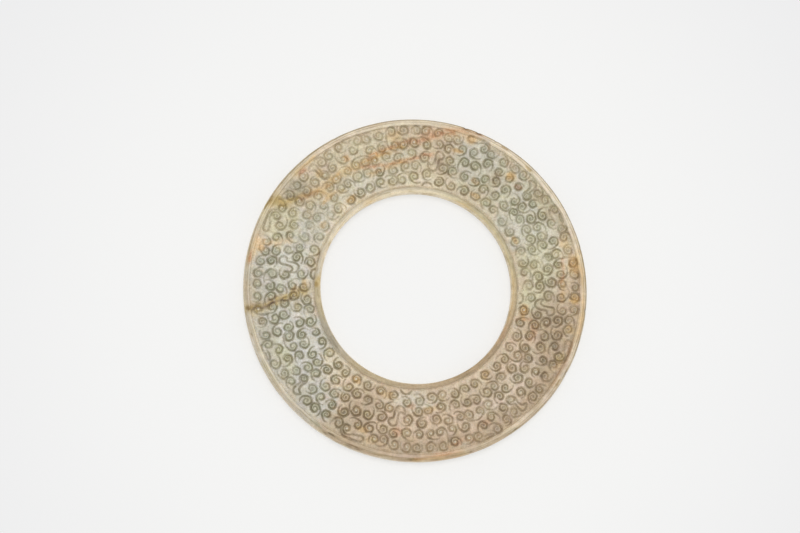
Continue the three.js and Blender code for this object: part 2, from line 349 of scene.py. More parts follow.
def face_height(turned):
    """Height of the face over the rims' level. The ground lies lower by its depth between two
    soft steps, the bosses and buds stand on it, and the grooves are cut in. The lines by the
    rims are bells, depth times exp(-(distance / half width)^2)."""
    way = -1 if turned else 1
    here_cut, here_boss, here_bud = (
        (np.roll(values[::-1], 1, axis=0) if turned else values) for values in (cut, boss, bud))
    x, y = face_x, way * face_y
    start, end = ground_start(way * angles)[:, None], ground_end(way * angles)[:, None]
    past_start = soft_step((radii - start) / GROUND_SLOPE)
    in_ground = past_start * soft_step((end - radii) / GROUND_SLOPE)
    marks = TOOL_MARKS * unevenness(x, y, 20, 1.6, 6.0, 11)
    height = in_ground * (BOSS_HEIGHT * here_boss + BUD_HEIGHT * here_bud - GROUND_DEPTH + marks)
    line_place = radii + LINE_WANDER * unevenness(x, y, 10, 9.0, 40.0, 13)
    half = RIM_LINE_WIDTH / 2
    for middle, half_width, depth in (
            (start + half, half, HOLE_LINE_DEPTH), (end - half, half, OUTER_LINE_DEPTH),
            (FINE_LINE_RADIUS, FINE_LINE_HALF_WIDTH, FINE_LINE_DEPTH)):
        height -= depth * np.exp(-(((line_place - middle) / half_width) ** 2))
    # the grooves of the outermost curls run just into the rim
    groove_room = past_start * soft_step((end + 0.2 - radii) / GROUND_SLOPE)
    height -= GROOVE_DEPTH * here_cut * groove_room
    height -= RIM_WEAR * (1 + unevenness(x, y, 14, 3.0, 12.0, 14)) * (1 - in_ground)
    return height


def edge_rows(wall_radius, edge_round):
    """The wall and the rounded edge of one half of the ring, from the middle of the wall to the
    face: a straight wall, then a quarter of a circle. Gives their radius and height. A round
    below 0 leads inwards."""
    turn = np.linspace(0, np.pi / 2, EDGE_ROWS)[:-1]
    radius = np.concatenate([[wall_radius], wall_radius + edge_round * (1 - np.cos(turn))])
    level = np.concatenate([[THICKNESS / 2], THICKNESS - abs(edge_round) * (1 - np.sin(turn))])
    return radius, level


def half_ring(turned):
    """One half of the ring as radius and height for each column, from the middle of the hole's
    wall over the face to the middle of the outer wall. Wear and chips pull the edge in, a chip
    as a bell, depth times exp(-(distance / half width)^2)."""
    hole_r, hole_z = edge_rows(HOLE_RADIUS, HOLE_EDGE_ROUND)
    outer_r, outer_z = edge_rows(OUTER_RADIUS, -OUTER_EDGE_ROUND)
    radius = np.concatenate([hole_r, radii, outer_r[::-1]])
    level = np.concatenate([hole_z, np.full(len(radii), THICKNESS), outer_z[::-1]])
    radius = np.repeat(radius[None], COLUMNS, 0)
    level = np.repeat(level[None], COLUMNS, 0)
    height = face_height(turned)
    level[:, len(hole_r):len(hole_r) + len(radii)] += height
    level[:, 1:len(hole_r)] += height[:, :1] * np.linspace(0, 1, len(hole_r) - 1)
    level[:, len(hole_r) + len(radii):-1] += height[:, -1:] * np.linspace(1, 0, len(outer_r) - 1)
    edge_x, edge_y = OUTER_RADIUS * np.cos(angles), OUTER_RADIUS * np.sin(angles)
    worn = EDGE_WEAR * (1 + unevenness(edge_x, edge_y, 12, 5, 60, 15))
    dent = worn.copy()
    if not turned:
        for degrees, width, depth in CHIPS:
            beside = np.radians(degrees_off(angles, degrees)) * OUTER_RADIUS / (width / 2)
            dent += depth * np.exp(-(beside**2))
    at_edge = soft_step((radius - outer_flat + 0.6) / 1.2)
    at_top = soft_step((level - THICKNESS / 2) / (THICKNESS / 2 - 0.4))
    radius -= at_edge * (worn[:, None] + (dent - worn)[:, None] * at_top)
    return radius, level


def ring_places():
    """Every place of the closed grid. The upper half runs out from the hole, and the lower half
    is the same section turned over and runs back to it, without the two walls' middle rows."""
    upper_r, upper_z = half_ring(False)
    lower_r, lower_z = half_ring(True)
    radius = np.concatenate([upper_r, lower_r[:, -2:0:-1]], 1)
    level = np.concatenate([upper_z, THICKNESS - lower_z[:, -2:0:-1]], 1)
    return np.stack([*ring_x_y(radius), level], -1)


def grid_mesh(name, places):
    """A closed mesh of four-sided faces over a grid that joins up with itself both ways."""
    columns, rows = places.shape[:2]
    number = np.arange(columns * rows).reshape(columns, rows)
    beside, above = np.roll(number, -1, 0), np.roll(number, -1, 1)
    corners = np.stack([number, above, np.roll(beside, -1, 1), beside], -1).reshape(-1, 4)
    corners = corners[:, ::-1]
    mesh = bpy.data.meshes.new(name)
    mesh.vertices.add(columns * rows)
    mesh.vertices.foreach_set("co", (places.reshape(-1) * MM).astype(np.float32))
    mesh.loops.add(corners.size)
    mesh.loops.foreach_set("vertex_index", corners.reshape(-1).astype(np.int32))
    mesh.polygons.add(len(corners))
    mesh.polygons.foreach_set("loop_start", np.arange(0, corners.size, 4, dtype=np.int32))
    mesh.update(calc_edges=True)
    mesh.validate()
    return mesh


# The mesh is thinned out while the carving is stretched, most on the upper face, so that the
# face that shows keeps most of its faces, and is let back afterwards.
def stretched(level):
    """Heights with the upper face's relief stretched: T + s (z - T) near the face at T."""
    near = level > THICKNESS - RELIEF_ZONE
    return np.where(near, THICKNESS + (level - THICKNESS) * RELIEF_STRETCH,
                    level - (RELIEF_STRETCH - 1) * RELIEF_ZONE)


def let_back(level):
    """The heights that were stretched, as they were, and none outside the thickness."""
    near = level > THICKNESS - RELIEF_ZONE * RELIEF_STRETCH
    back = np.where(near, THICKNESS + (level - THICKNESS) / RELIEF_STRETCH,
                    level + (RELIEF_STRETCH - 1) * RELIEF_ZONE)
    return np.clip(back, 0, THICKNESS)


places = ring_places()
places[..., 2] = stretched(places[..., 2])
full = bpy.data.objects.new("carved_disc_full", grid_mesh("carved_disc_full", places))
bpy.context.scene.collection.objects.link(full)
thin = full.modifiers.new("fewer_faces", "DECIMATE")
thin.ratio = TRIANGLES / (2 * len(full.data.polygons))
thin.use_collapse_triangulate = True
carved = bpy.data.meshes.new_from_object(full.evaluated_get(bpy.context.evaluated_depsgraph_get()))
carved.name = "carved_disc"
bpy.data.objects.remove(full)
points = np.zeros(len(carved.vertices) * 3, np.float32)
carved.vertices.foreach_get("co", points)
vx, vy, vz = (points.reshape(-1, 3) / MM).T
vz = let_back(vz)
carved.vertices.foreach_set("co", (np.stack([vx, vy, vz], -1) * MM).reshape(-1).astype(np.float32))
carved.update()
disc = bpy.data.objects.new("carved_disc", carved)
bpy.context.scene.collection.objects.link(disc)
carved.shade_smooth()


def from_face(values, x, y, top):
    """Reads a face's grid at places of the disc, evenly between the four nearest, with the
    lower face turned over. Places off the face get what lies at its rim."""
    x = x - HOLE_OFFSET[0] * off_centre(np.hypot(x, y))
    y = y - HOLE_OFFSET[1] * off_centre(np.hypot(x, y))
    column = (np.arctan2(np.where(top, y, -y), x) / (2 * np.pi) * COLUMNS) % COLUMNS
    row = np.interp(np.hypot(x, y), radii, np.arange(len(radii)))
    c0 = np.floor(column).astype(int) % COLUMNS
    c1, u = (c0 + 1) % COLUMNS, column - np.floor(column)
    r0 = np.minimum(np.floor(row).astype(int), len(radii) - 2)
    v = row - r0
    return ((values[c0, r0] * (1 - u) + values[c1, r0] * u) * (1 - v)
            + (values[c0, r0 + 1] * (1 - u) + values[c1, r0 + 1] * u) * v)


def streaks(x, y, waves, shortest, longest, most_turns, seed):
    """A random surface between about -1 and 1 that is drawn out round the ring: the sum of
    waves that run outwards and wind round it a whole number of times."""
    draw = np.random.default_rng(seed)
    distance, turn = np.hypot(x, y), np.arctan2(y, x)
    total = np.zeros(len(x))
    for _ in range(waves):
        number = 2 * np.pi / np.exp(draw.uniform(np.log(shortest), np.log(longest)))
        winding = draw.integers(-most_turns, most_turns + 1) * turn
        total += np.cos(number * distance + winding + draw.uniform(0, 6.3))
    return total / np.sqrt(2 * waves)


def hold(name, values):
    """Keeps a value, or a colour, at each point of the mesh."""
    kind, field = ("FLOAT", "value") if values.ndim == 1 else ("FLOAT_COLOR", "color")
    held_values = carved.attributes.new(name, kind, "POINT").data
    held_values.foreach_set(field, values.reshape(-1).astype(np.float32))


top = vz > THICKNESS / 2
around = np.arctan2(vy, vx)
from_middle = np.hypot(vx, vy)
from_hole = np.hypot(vx - HOLE_OFFSET[0], vy - HOLE_OFFSET[1])
past_hole_rim, past_ground = from_hole - ground_start(around), from_middle - ground_end(around)
drawn_out = streaks(vx, vy, 30, 0.5, 2.5, 30, 26)
# Dirt and painted shade lie in the angle beside each rim, and in the chips
rim_dirt_and_shade = 0.45 * np.exp(-(((past_hole_rim - 0.2) / 0.33) ** 2))
rim_dirt_and_shade += 0.32 * np.exp(-(((past_ground + 0.08) / 0.28) ** 2))
rim_dirt_and_shade *= 0.8 + 0.4 * drawn_out
for degrees, width, depth in CHIPS:
    beside = np.radians(degrees_off(around, degrees)) * OUTER_RADIUS / (width * 0.7)
    inwards = (from_middle - OUTER_RADIUS + 0.5) / 0.35
    rim_dirt_and_shade = np.maximum(rim_dirt_and_shade, 0.75 * np.exp(-(beside**2) - inwards**2) * top)
for name, values in (("cut", cut), ("boss", boss), ("bud", bud), ("tone", tone)):
    here = from_face(values, vx, vy, top)
    hold(name, np.maximum(here, rim_dirt_and_shade) if name == "cut" else here)

# The stone: translucent nephrite, buff to grey green, with tan and rust stains that go through
# it, brown veins, and dirt and painted shade in the grooves. It is polished, most on the rims and
# bosses.
# A tint is a colour as it looks in plain light, red green blue from 0 to 255.
TINTS = {
    "buff": (202, 186, 158), "cool": (195, 192, 181), "pale": (211, 206, 191),
    "green": (199, 194, 162), "rose": (200, 177, 150), "brown": (170, 149, 119),
    "olive": (178, 163, 124), "cream": (218, 205, 177), "ochre": (205, 168, 110),
    "rust": (196, 146, 104), "gold": (182, 158, 96), "smoke": (163, 154, 130), "dark": (116, 96, 68),
    "grey": (166, 156, 134), "peach": (222, 193, 152), "shell": (228, 214, 190),
    "pink": (203, 180, 164), "umber": (158, 136, 104),
}
# Patches of stain: tint, degrees against the clock from the right, distance from the middle,
# half the length round the ring, half the width across it, strength
PATCHES = (
    ("rose", 280, 41, 44, 16, 0.9), ("rose", 320, 41, 30, 14, 0.8), ("rose", 0, 45, 14, 9, 0.6),
    ("rose", 90, 44, 20, 9, 0.4), ("cool", 204, 41, 20, 15, 1), ("cool", 173, 41, 12, 12, 0.9),
    ("cool", 36, 42, 16, 13, 0.7), ("cool", 64, 43, 9, 10, 0.8), ("cool", 228, 46, 8, 8, 0.8),
    ("green", 14, 39, 11, 8, 0.8), ("green", 154, 43, 8, 10, 0.7), ("green", 140, 36, 12, 4, 0.5),
    ("green", 207, 46, 9, 4, 0.5), ("green", 355, 36, 6, 6, 0.7), ("pale", 200, 40, 16, 9, 0.2),
    ("pale", 172, 40, 7, 6, 0.6), ("pale", 30, 38, 9, 5, 0.5), ("pale", 191, 37, 3, 2, 0.7),
    ("pale", 160, 37, 9, 6, 0.5), ("pale", 118, 35, 7, 4, 0.5), ("pale", 268, 34, 8, 3, 0.6),
    ("cream", 140, 33, 16, 3.5, 0.8), ("cream", 87, 33, 10, 3, 0.8), ("cream", 225, 34, 8, 4, 0.5),
    ("cream", 12, 47, 7, 5, 0.7), ("cream", 296, 34, 14, 4, 0.4), ("brown", 243, 45, 8, 6, 0.45),
    ("brown", 336, 45, 13, 7, 0.7), ("brown", 318, 48, 12, 4, 0.5), ("smoke", 141, 47, 5, 4, 0.6),
    ("brown", 270, 47, 20, 3.5, 0.5), ("brown", 348, 41, 9, 6, 0.5), ("brown", 246, 39, 6, 6, 0.45),
    ("smoke", 205, 47.3, 30, 3, 0.3), ("brown", 300, 47, 14, 3.5, 0.45), ("brown", 300, 36, 12, 4, 0.4),
    ("smoke", 150, 36, 10, 4, 0.25), ("olive", 34, 47.3, 9, 3, 0.6), ("brown", 358, 47, 8, 3, 0.3),
    ("brown", 345, 35, 5.5, 4, 0.35), ("brown", 315, 47, 30, 3.5, 0.2), ("smoke", 358, 41, 8, 4, 0.2),
    ("smoke", 239, 47, 6, 4, 0.2), ("pale", 210, 47, 6, 3, 0.3), ("green", 106, 41, 20, 10, 0.45),
    ("cool", 114, 36, 13, 5, 0.35), ("cool", 98, 41.5, 6, 3, 0.3), ("cream", 112, 39, 22, 10, 0.2),
    ("green", 48, 39, 22, 10, 0.4), ("cool", 150, 36, 12, 6, 0.5), ("smoke", 60, 40, 16, 8, 0.15),
    ("smoke", 180, 41, 9, 12, 0.1), ("pale", 312, 41, 16, 5, 0.3), ("pale", 28, 41.5, 18, 5, 0.25),
    ("cool", 30, 34, 9, 4, 0.35),
    # along the outer rim
    ("shell", 0, 51, 60, 1.3, 0.6), ("shell", 70, 51, 74, 1.3, 0.7), ("cream", 150, 51, 20, 1.2, 0.4),
    ("cream", 208, 50.7, 20, 0.9, 0.6), ("brown", 266, 50.8, 40, 1.3, 0.4),
    ("pink", 272, 50.3, 14, 0.8, 0.6), ("cream", 302, 50.7, 20, 1, 0.3),
    ("brown", 332, 49.9, 14, 0.8, 0.6), ("brown", 325, 49, 60, 1.2, 0.4),
    ("brown", 255, 49.3, 24, 1.2, 0.4), ("brown", 40, 48.9, 30, 1.2, 0.4),
    ("green", 40, 49.3, 20, 0.8, 0.5), ("peach", 164, 49.6, 2.6, 2.6, 0.9),
    ("rust", 169, 51, 2.4, 0.6, 0.8), ("gold", 147.5, 48.6, 1.8, 3.4, 0.9),
    ("smoke", 138.5, 43.6, 1.2, 1.6, 0.8), ("ochre", 349, 51, 9, 0.5, 0.5),
    ("peach", 8, 50.8, 5, 1.2, 0.25),
    # ochre and rust spots
    ("ochre", 9, 48.7, 3.8, 2.2, 0.9), ("ochre", 18, 47.5, 3.4, 2, 0.4),
    ("ochre", 26.5, 33.8, 1.6, 1, 0.7), ("rust", 45, 44.5, 1.6, 1.2, 0.4),
    ("ochre", 50, 45.3, 1.6, 2, 0.8), ("brown", 54, 42, 2.4, 3, 0.5), ("ochre", 58, 34, 2, 1.2, 0.6),
    ("ochre", 61, 37.6, 1.7, 1.1, 0.4), ("ochre", 73, 44.2, 2, 0.9, 0.8),
    ("ochre", 69.5, 49, 1.8, 1.6, 0.7), ("brown", 79.5, 39.8, 1.6, 2, 0.8),
    ("rust", 85, 47.4, 3, 2, 0.35), ("ochre", 98, 47, 3, 2, 0.4), ("ochre", 118, 44.8, 1.4, 1.5, 0.7),
    ("ochre", 130, 45.3, 1.5, 1.6, 0.6), ("rust", 134, 49.2, 2, 0.9, 0.6),
    ("ochre", 125.5, 33.5, 2.2, 1.3, 0.8), ("ochre", 134, 38, 3, 1, 0.6),
    ("ochre", 146, 34, 1.8, 1, 0.4), ("ochre", 165.5, 48.2, 1.5, 1.6, 0.7),
    ("ochre", 178, 33.8, 1.9, 1, 0.6), ("ochre", 182, 36.8, 2.4, 1.3, 0.5),
    ("olive", 188.5, 36.5, 2, 1.1, 0.6), ("brown", 192, 47.5, 1.8, 1.2, 0.4),
    ("ochre", 236.5, 33, 2, 1.1, 0.7), ("green", 207, 44.5, 3.4, 2.5, 0.6),
    ("ochre", 248.5, 45.4, 2.2, 1.4, 0.6), ("rust", 262, 43.5, 1.8, 1.8, 0.4),
    ("rust", 267, 35.5, 1.6, 1, 0.4), ("ochre", 254, 33.3, 3, 1.3, 0.4),
    ("ochre", 254, 47.6, 3.5, 1.3, 0.3), ("rust", 284, 48, 3, 0.9, 0.3),
    ("rust", 297, 45.5, 2, 1.2, 0.3), ("ochre", 309, 33, 2, 1.2, 0.5), ("rust", 340, 37.5, 4, 1.4, 0.4),
    ("ochre", 348, 33.2, 3, 1.3, 0.8), ("ochre", 356.8, 48.2, 2, 1.8, 1),
    ("ochre", 357, 44.5, 2.2, 1, 0.5), ("ochre", 2, 44.3, 3, 1, 0.4),
    ("ochre", 276, 36.6, 2.4, 1.4, 0.4), ("ochre", 333, 48.4, 4, 1.2, 0.4),
    ("ochre", 345.5, 48, 1.6, 1.6, 0.5),
)
# The rim of the hole is stained to its border: tint, degrees, half the span, strength
HOLE_RIM_STAINS = (
    ("cream", 100, 70, 0.8), ("green", 40, 40, 0.5), ("olive", 28, 50, 0.65), ("brown", 270, 60, 0.8),
    ("umber", 317, 38, 0.85), ("ochre", 285, 45, 0.1), ("olive", 240, 22, 0.5), ("grey", 208, 18, 1),
    ("olive", 188, 12, 0.7), ("ochre", 3, 10, 0.25), ("ochre", 60, 5, 0.3), ("gold", 176, 3.5, 0.8),
    ("ochre", 348, 9, 0.3), ("rust", 333, 6, 0.25), ("ochre", 118, 5, 0.3), ("cream", 145, 10, 0.3),
)
# Veins: tint, half the width, strength, and the places they run through, degrees and distance
VEINS = (
    ("rust", 0.7, 0.7, ((66, 51.3), (70, 51), (74, 50.6), (79, 49.6))),
    ("peach", 1.3, 0.6, ((67, 50.6), (71.7, 49.8), (75.4, 49.4), (79, 49.3), (81.7, 48.2),
                         (84.4, 46.4))),
    ("rust", 0.8, 0.75, ((76, 49.3), (79, 49), (81.7, 48), (84.4, 46.4), (88.2, 45.2),
                         (92.1, 44.9), (96, 44.7), (100, 43.6), (104, 42.9), (110, 42.2))),
    ("rust", 1.3, 0.25, ((81, 47.6), (85, 47.2), (88, 45.8), (94, 44.6))),
    ("rust", 0.75, 0.65, ((83, 41.4), (86.3, 41), (91.5, 39.6), (96.9, 38.9), (101.5, 38.8),
                          (107.8, 39.2), (113.6, 40.4))),
    ("ochre", 1.3, 0.75, ((96, 43.6), (104, 42.6), (111, 41.2), (118, 41.3), (126, 41.6), (133, 41.2))),
    ("ochre", 0.9, 0.5, ((95, 39), (104, 38), (112, 37.6))),
    ("gold", 1.1, 0.9, ((135.4, 41.6), (138.3, 42.9), (141.8, 44.6), (145.3, 46.3), (148.3, 48.3),
                        (149.8, 51), (151, 52))),
    ("rust", 0.8, 0.5, ((135.4, 41.6), (138.3, 42.6), (141.8, 44.2))),
    ("dark", 0.3, 0.6, ((138.6, 43.8), (141.3, 45.2), (144.2, 46.9), (147, 49.4))),
    ("dark", 0.25, 0.5, ((138.6, 42.2), (142.3, 43.8), (145.6, 45), (148.8, 46.4))),
    ("ochre", 0.7, 0.5, ((127, 37), (131, 38), (134, 39.8))),
    ("ochre", 0.6, 0.7, ((128.5, 50.1), (136, 50.3))),
    ("peach", 1, 0.7, ((171, 51.2), (165, 49.5), (163, 46), (161, 43), (159.3, 40.6))),
    ("rust", 0.35, 0.7, ((269, 51.2), (275, 50.8), (281, 50.5))),
    # the fissure that crosses the ring
    ("gold", 1.2, 1, ((187.6, 52), (187.2, 50), (187, 47), (186.6, 45), (185.4, 42.5),
                      (183.8, 39.4), (182, 35.4), (181.6, 33.6))),
    ("dark", 0.36, 1, ((188.6, 51.4), (187.2, 49.2), (187.5, 46.8), (187.2, 45.4), (185.8, 43.4),
                       (185.2, 41), (185.6, 39.4), (184.2, 37.2))),
    ("dark", 0.3, 0.7, ((186, 50.4), (185.8, 48), (185.6, 46), (184.2, 43.2), (182.6, 40.6))),
    ("rust", 0.5, 0.6, ((2.5, 44), (6, 45.2), (9, 45.6), (12, 45.4))),
    ("ochre", 0.7, 0.4, ((3, 50.6), (14, 50.8))),
    ("ochre", 0.6, 0.5, ((344, 50.4), (352, 50.8), (3, 50.6))),
    ("rust", 0.45, 0.35, ((324, 50.1), (334, 50.2), (343, 50.1))),
    ("rust", 0.5, 0.4, ((281, 48.7), (286, 47.4), (291, 48.6), (293, 47.9))),
    ("brown", 0.5, 0.6, ((292, 49.8), (298, 49.6))),
    ("rust", 0.4, 0.6, ((344.5, 33.4), (345.2, 36))),
    ("ochre", 1, 0.5, ((268, 51.4), (276, 51), (284, 51.2))),
    ("rust", 0.5, 0.4, ((276, 50.1), (284, 50.3))),
    ("brown", 0.5, 0.6, ((258.8, 40.8), (259.6, 38), (261, 36.6))),
)
# How much of each tint is iron, which shows as fine branched lines
IRON_SHARES = {"rust": 1, "ochre": 0.35, "gold": 0.25, "peach": 0.15}
PATCH_WANDER = 0.16
VEIN_WANDER = 0.35


def mix_in(colour, share, tint):
    """Mixes a tint into the colours of all places, by each place's share."""
    colour += share[:, None] * (TINTS[tint] - colour)


def from_patch(x, y, degrees, distance, long, wide):
    """How far places are from the middle of a patch that lies round the ring: 0 there, and 1 at
    its border, half its length and half its width away."""
    along = np.radians(degrees_off(np.arctan2(y, x), degrees)) * distance / long
    return np.hypot(along, (np.hypot(x, y) - distance) / wide)


def stained(x, y):
    """The stone's own colour at places of the disc, and how much iron stain is there. The edges
    of the stains wander: a place is shifted by soft random waves, and then each stain is mixed
    in by its distance."""
    shift_x = unevenness(x, y, 22, 1.5, 9.0, 21)
    shift_y = unevenness(x, y, 22, 1.5, 9.0, 22)
    colour = np.repeat(np.array([TINTS["buff"]], float), len(x), 0)
    iron = np.zeros(len(x))
    for tint, degrees, distance, long, wide, strength in PATCHES:
        wander = PATCH_WANDER * min(long, wide * 2.5)
        px, py = x + wander * shift_x, y + wander * shift_y
        away = from_patch(px, py, degrees, distance, long, wide)
        share = strength * soft_step((1.15 - away) / 0.75)
        mix_in(colour, share, tint)
        iron = np.maximum(iron, share * IRON_SHARES.get(tint, 0))
    uneven = 0.8 + 0.25 * unevenness(x, y, 16, 1.0, 4.0, 23)
    for tint, half_width, strength, run in VEINS:
        turn, distance = np.radians([d for d, _ in run]), np.array([r for _, r in run])
        line = np.stack([distance * np.cos(turn), distance * np.sin(turn)], -1)
        wander = VEIN_WANDER * min(half_width, 0.8)
        px, py = (x + wander * shift_x)[:, None], (y + wander * shift_y)[:, None]
        away = from_line(px, py, line)[0].min(-1)
        broken = uneven + (0.4 * drawn_out if tint in IRON_SHARES else 0)
        share = np.clip(strength * broken * np.exp(-((away / half_width) ** 2)), 0, 1)
        mix_in(colour, share, tint)
        iron = np.maximum(iron, share * IRON_SHARES.get(tint, 0))
    for seed, shift in ((31, (2.6, 2.6, 2.6)), (32, (-1.4, 1.3, -0.3)), (33, (1.2, 0.3, -3.4))):
        colour += unevenness(x, y, 40, 1.5, 8.0, seed)[:, None] * shift
    return colour, iron


def plain_colour(colour):
    """A colour given as it looks, 0 to 255, as the light that it sends back, 0 to 1, with the
    fourth value 1."""
    c = np.asarray(colour, float) / 255
    sent = np.where(c <= 0.04045, c / 12.92, ((c + 0.055) / 1.055) ** 2.4)
    return np.concatenate([sent, np.ones(sent.shape[:-1] + (1,))], -1)


# How dark the carving is painted, dirt and painted shade together: in most places, and in
# patches, each given by its degrees, distance, half length, half width and level
GRIME_AND_SHADE = 0.9
GRIME_AND_SHADE_PATCHES = (
    (200, 41, 30, 16, 1), (172, 41, 14, 12, 0.97), (68, 41, 14, 9, 0.95), (335, 42, 22, 10, 1),
    (5, 45, 12, 6, 0.95), (30, 46, 16, 6, 0.95), (122, 42, 32, 12, 0.68), (150, 36, 14, 6, 0.4),
    (28, 34, 22, 4, 0.65), (246, 42, 12, 10, 1.3), (300, 35, 12, 4, 1.1), (232, 48, 12, 5, 1.5),
    (345, 35, 6, 4, 1.4), (166, 35, 9, 4, 1.2), (218, 35, 13, 4, 1.3),
)
grime_and_shade = np.full(len(vx), GRIME_AND_SHADE)
for *patch, level in GRIME_AND_SHADE_PATCHES:
    grime_and_shade += soft_step(1.2 - from_patch(vx, vy, *patch)) * (level - grime_and_shade)
grime_and_shade += 0.24 * unevenness(vx, vy, 24, 3.0, 12.0, 24)
grime_and_shade = np.clip(grime_and_shade * (1 - 0.2 * soft_step((from_middle - 45) / 3)), 0.2, 1.3)

# The rims' own stains run along them. The rim of the hole is paler towards the hole and darker
# towards the ground, most on its upper side
stone_colour, iron = stained(vx, vy)
on_hole_rim = soft_step((0.1 - past_hole_rim) / 0.25)
for tint, degrees, span, strength in HOLE_RIM_STAINS:
    off = np.abs(degrees_off(around + np.radians(2.5) * drawn_out, degrees))
    mix_in(stone_colour, strength * on_hole_rim * soft_step((1.2 - off / span) / 0.8), tint)
across_rim = np.clip((from_hole - HOLE_RADIUS) / (ground_start(around) - HOLE_RADIUS), 0, 1)
upper_side = soft_step(0.6 + 0.5 * np.cos(around - np.radians(75)))
stone_colour *= 1 + (on_hole_rim * (0.5 - across_rim) * (0.04 + 0.24 * upper_side))[:, None]
on_rims = np.maximum(on_hole_rim, soft_step(past_ground / 0.3))
# The walls are painted pale, as light thrown up from the white table, and so is the whole edge of
# the hole at the lower left
pale = 0.9 * soft_step((THICKNESS - 0.7 - vz) / 0.6) * soft_step((from_middle - 51.2) / 0.4)
pale += 0.6 * soft_step((THICKNESS - 0.4 - vz) / 0.4) * soft_step((29.4 - from_hole) / 0.3)
lower_left = soft_step(0.15 + np.cos(around - np.radians(207)))
pale += 0.8 * soft_step((29.45 - from_hole) / 0.3) * lower_left
mix_in(stone_colour, np.minimum(pale, 1), "shell")

# The colour that the bosses and grooves are multiplied by: brown where the stone is warm, grey
# green where it is cool
COOL_FILL = np.array([0.74, 0.76, 0.64, 1])
WARM_FILL = np.array([0.81, 0.778, 0.67, 1])
warm = soft_step((stone_colour[:, 0] - stone_colour[:, 2] - 18) / 38)[:, None]
hold("fill", (1 - warm) * COOL_FILL + warm * WARM_FILL)
hold("grime_and_shade", grime_and_shade)
hold("iron", iron)
hold("plain_rim", on_rims)
hold("tint", plain_colour(stone_colour))


def add_node(kind, settings=None, **inputs):
    """Adds a node to the material that is being made, whose tree is called tree. A name
    among the inputs is a socket; what it is given is linked if it is a socket itself, and is
    otherwise set as its value."""
    node = tree.nodes.new(kind)
    for name, value in (settings or {}).items():
        setattr(node, name, value)
    for name, value in inputs.items():
        key = int(name[1:]) if name[0] == "i" and name[1:].isdigit() else name.replace("_", " ")
        socket = node.inputs[key]
        if isinstance(value, bpy.types.NodeSocket):
            tree.links.new(value, socket)
        else:
            socket.default_value = value
    return node


def blended(factor, first, second, way="MIX"):
    """Mixes two colours by a factor, in the given way."""
    settings = {"data_type": "RGBA", "blend_type": way}
    return add_node("ShaderNodeMix", settings, i0=factor, i6=first, i7=second).outputs[2]


def worked_out(how, first, second=0.0, clamp=False):
    """One step of arithmetic on two numbers."""
    settings = {"operation": how, "use_clamp": clamp}
    return add_node("ShaderNodeMath", settings, i0=first, i1=second).outputs[0]


def ranged(value, low, high, to_low=0.0, to_high=1.0):
    """A value carried smoothly from one range to another."""
    node = add_node("ShaderNodeMapRange", {"interpolation_type": "SMOOTHSTEP"},
                    Value=value, From_Min=low, From_Max=high, To_Min=to_low, To_Max=to_high)
    return node.outputs[0]


stone = bpy.data.materials.new("nephrite")
stone.use_nodes = True
tree = stone.node_tree
tree.nodes.clear()
where = add_node("ShaderNodeTexCoord").outputs["Object"]
SHADES = {
    "pale_cloud": (1.17, 1.17, 1.18), "fleck": (0.7, 0.68, 0.6), "speck": (0.55, 0.48, 0.36),
    "rust_line": (0.6, 0.42, 0.28), "dark_streak": (0.72, 0.66, 0.52),
    "pale_streak": (1.12, 1.11, 1.1), "edge_wear_shade_and_scratch": (0.55, 0.51, 0.41),
    "pale_grit": (1.14, 1.15, 1.18), "dark_grit": (0.86, 0.85, 0.82), "groove": (0.575, 0.53, 0.475),
}
OLIVE_FILL = (0.75, 0.75, 0.56, 1)
# The colour of the painted highlight on the buds
BUD_HIGHLIGHT_COLOUR = (212, 203, 178)


def of_vector(how, first, output=0, **inputs):
    """One step of arithmetic on a vector."""
    return add_node("ShaderNodeVectorMath", {"operation": how}, i0=first, **inputs).outputs[output]


def times(first, second, clamp=False):
    """The product of two numbers, held between 0 and 1 if asked."""
    return worked_out("MULTIPLY", first, second, clamp)


def shaded(colour, share, shade):
    """The colour multiplied by a shade, as far as the share says. A shade is a name among
    SHADES, three shares of red green blue, or a colour that is worked out by nodes."""
    shade = SHADES.get(shade, shade)
    return blended(share, colour, (*shade, 1) if isinstance(shade, tuple) else shade, "MULTIPLY")


in_mm = of_vector("SCALE", where, Scale=1 / MM)


def clouds(size, detail=3.0, roughness=0.55, at=in_mm, distortion=0.0):
    """Cloudy noise whose lumps are about the given size, in millimetres."""
    return add_node("ShaderNodeTexNoise", {"noise_dimensions": "3D"}, Vector=at, Scale=1 / size,
                    Detail=detail, Roughness=roughness, Distortion=distortion)


def held(name):
    """A value that the mesh holds at its points."""
    return add_node("ShaderNodeAttribute", {"attribute_name": name}).outputs["Fac"]


# Fine mottling: paler clouds, darker flecks and small dark specks
colour = add_node("ShaderNodeAttribute", {"attribute_name": "tint"}).outputs["Color"]
mottle = clouds(1.8, 5.0, 0.65).outputs["Fac"]
colour = shaded(colour, ranged(mottle, 0.42, 0.68), "pale_cloud")
fleck = clouds(0.8, 3.0, 0.65).outputs["Fac"]
colour = shaded(colour, ranged(fleck, 0.50, 0.70, 0.0, 0.4), "fleck")
speck = clouds(0.35, 2.0, 0.5).outputs["Fac"]
colour = shaded(colour, ranged(speck, 0.62, 0.74, 0.0, 0.5), "speck")

# Iron stains lie in fine branched lines and specks
branches = worked_out("SUBTRACT", clouds(1.1, 5.0, 0.6, distortion=0.6).outputs["Fac"], 0.5)
branches = ranged(worked_out("ABSOLUTE", branches), 0.0, 0.05, 1.0, 0.0)
rust_line = times(branches, ranged(held("iron"), 0.1, 0.7, 0.0, 0.75))
colour = shaded(colour, rust_line, "rust_line")
